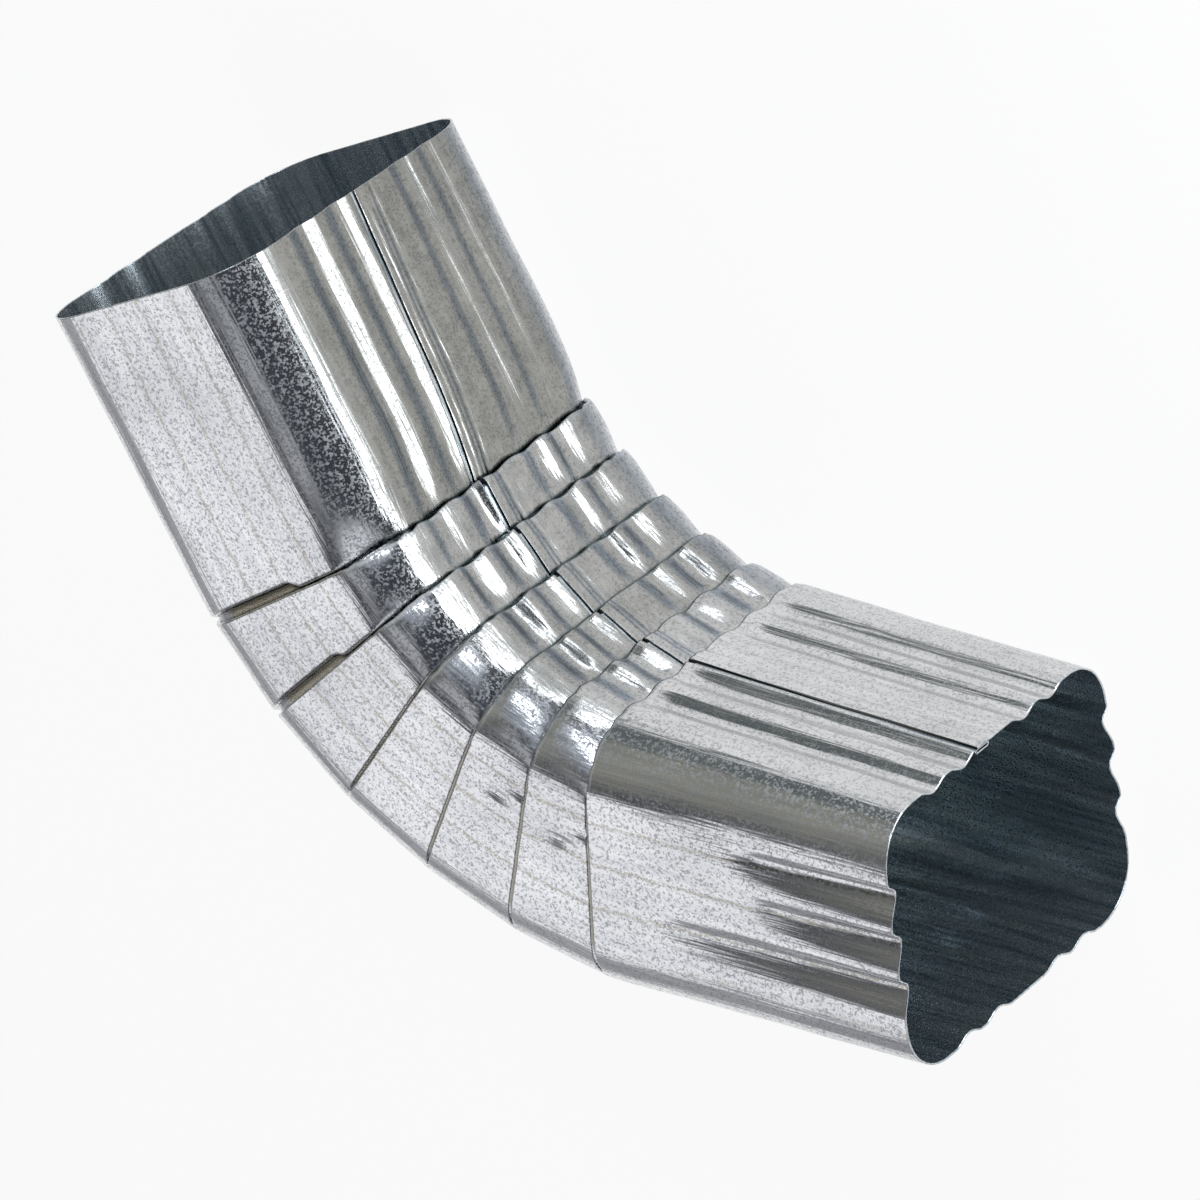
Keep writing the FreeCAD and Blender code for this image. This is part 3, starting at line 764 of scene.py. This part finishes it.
# The sky's brightness by direction: dim, with a lighter far side, and with each soft part mixed over it. Every
# mix goes by an ease of the cosine between the direction and the part's own
def studioSky():
    world = bpy.data.worlds.new("studio")
    bpy.context.scene.world = world
    world.use_nodes = True
    tree = world.node_tree
    direction = node(tree, "ShaderNodeTexCoord").outputs["Generated"]

    # the share of a part that looks towards one direction
    def towards(way, edge):
        cosine = node(tree, "ShaderNodeVectorMath", {0: direction, 1: tuple(way)}, operation="DOT_PRODUCT")
        return ranged(tree, cosine.outputs["Value"], edge, curve="SMOOTHSTEP")

    sky = mixed(tree, towards(studio["farToward"], studio["farEdge"]), studio["dimSide"], studio["dimFar"])
    for way, edge, colour in studio["softParts"]:
        sky = mixed(tree, towards(np.array(way) / np.linalg.norm(way), edge), sky, colour)
    tree.links.new(sky, tree.nodes["Background"].inputs["Color"])


# The floor is a round plate. Its tone falls by an ease of the distance towards one side, painted shade on that
# side.
# Camera rays, reflections and glass see that tone as it is, and all other light sees it as paint, so the shadow
# stays
def paleFloor():
    count = studio["floorPoints"]
    turn = np.linspace(0, 2 * np.pi, count + 1)[:-1]
    rim = np.stack([studio["floorSize"] * np.cos(turn), studio["floorSize"] * np.sin(turn), 0 * turn], 1)
    mesh = bpy.data.meshes.new("floor")
    mesh.from_pydata(rim.tolist(), [], [list(range(count))])
    floor = bpy.data.objects.new("floor", mesh)
    bpy.context.collection.objects.link(floor)
    material = bpy.data.materials.new("paleFloor")
    material.use_nodes = True
    tree = material.node_tree
    shader = tree.nodes["Principled BSDF"]
    shader.inputs["Roughness"].default_value = studio["floorRoughness"]
    where = node(tree, "ShaderNodeTexCoord").outputs["Object"]
    away = node(tree, "ShaderNodeVectorMath", {0: where, 1: studio["fallToward"]}, operation="DOT_PRODUCT")
    fall = ranged(tree, away.outputs["Value"], studio["fall"], curve="SMOOTHSTEP")
    # painted shade: the floor's tone darkens towards fallToward
    tone = mixed(tree, fall, (1, 1, 1, 1), studio["paintedFloorShade"])
    tree.links.new(mixed(tree, 1.0, tone, studio["floorColour"], "MULTIPLY"), shader.inputs["Base Color"])
    glow = node(tree, "ShaderNodeEmission", {"Color": tone, "Strength": studio["floorGlow"]})
    path = node(tree, "ShaderNodeLightPath").outputs
    seen = worked(tree, "ADD", path["Is Camera Ray"], path["Is Glossy Ray"])
    seen = worked(tree, "ADD", seen, path["Is Transmission Ray"])
    share = worked(tree, "MULTIPLY", seen, studio["glowShare"], use_clamp=True)
    both = node(tree, "ShaderNodeMixShader", {0: share, 1: shader.outputs[0], 2: glow.outputs[0]})
    tree.links.new(both.outputs[0], tree.nodes["Material Output"].inputs["Surface"])
    mesh.materials.append(material)


# A place and three axes as one matrix: the axes are its first columns, and the place is its last
def placed(right, up, back, spot):
    return Matrix([(*row, value) for row, value in zip(np.stack([right, up, back], 1), spot)] + [(0, 0, 0, 1)])


# Each lamp is a flat rectangle with its back to the direction that it shines from: its right is the cross product
# of straight up and back, and its up the cross product of back and right
def lamps():
    for name, direction, spot, wide, high, power in studio["lamps"]:
        lamp = bpy.data.lights.new(name, "AREA")
        lamp.shape = "RECTANGLE"
        lamp.size = wide
        lamp.size_y = high
        lamp.energy = power
        lamp.color = studio["lampColour"]
        holder = bpy.data.objects.new(name, lamp)
        bpy.context.collection.objects.link(holder)
        back = np.array(direction) / np.linalg.norm(direction)
        right = np.cross((0, 0, 1), back)
        right /= np.linalg.norm(right)
        holder.matrix_world = placed(right, np.cross(back, right), back, spot)
        holder.visible_camera = False


studioSky()
paleFloor()
lamps()
print("studio made")

# The camera as the photograph was taken: far off, looking down on the side wall. The focal length is in pixels
view = {"place": (1.17496, 0.970352, 1.39070), "focal": 7457.61, "frame": 1200, "sensor": 36,
        "right": (0.78937398, -0.11966825, -0.60213639), "up": (-0.21216886, 0.86720345, -0.45049145)}


# The camera looks against the cross product of its right and up, and its lens is the focal length as a share of
# the frame, times the sensor's width
def makeCamera():
    data = bpy.data.cameras.new("camera")
    data.sensor_width = view["sensor"]
    data.lens = view["focal"] / view["frame"] * view["sensor"]
    camera = bpy.data.objects.new("camera", data)
    bpy.context.collection.objects.link(camera)
    right, up = np.array(view["right"]), np.array(view["up"])
    camera.matrix_world = placed(right, up, np.cross(right, up), view["place"])
    bpy.context.scene.camera = camera
    bpy.context.scene.view_settings.view_transform = "Standard"


makeCamera()
print("camera set")
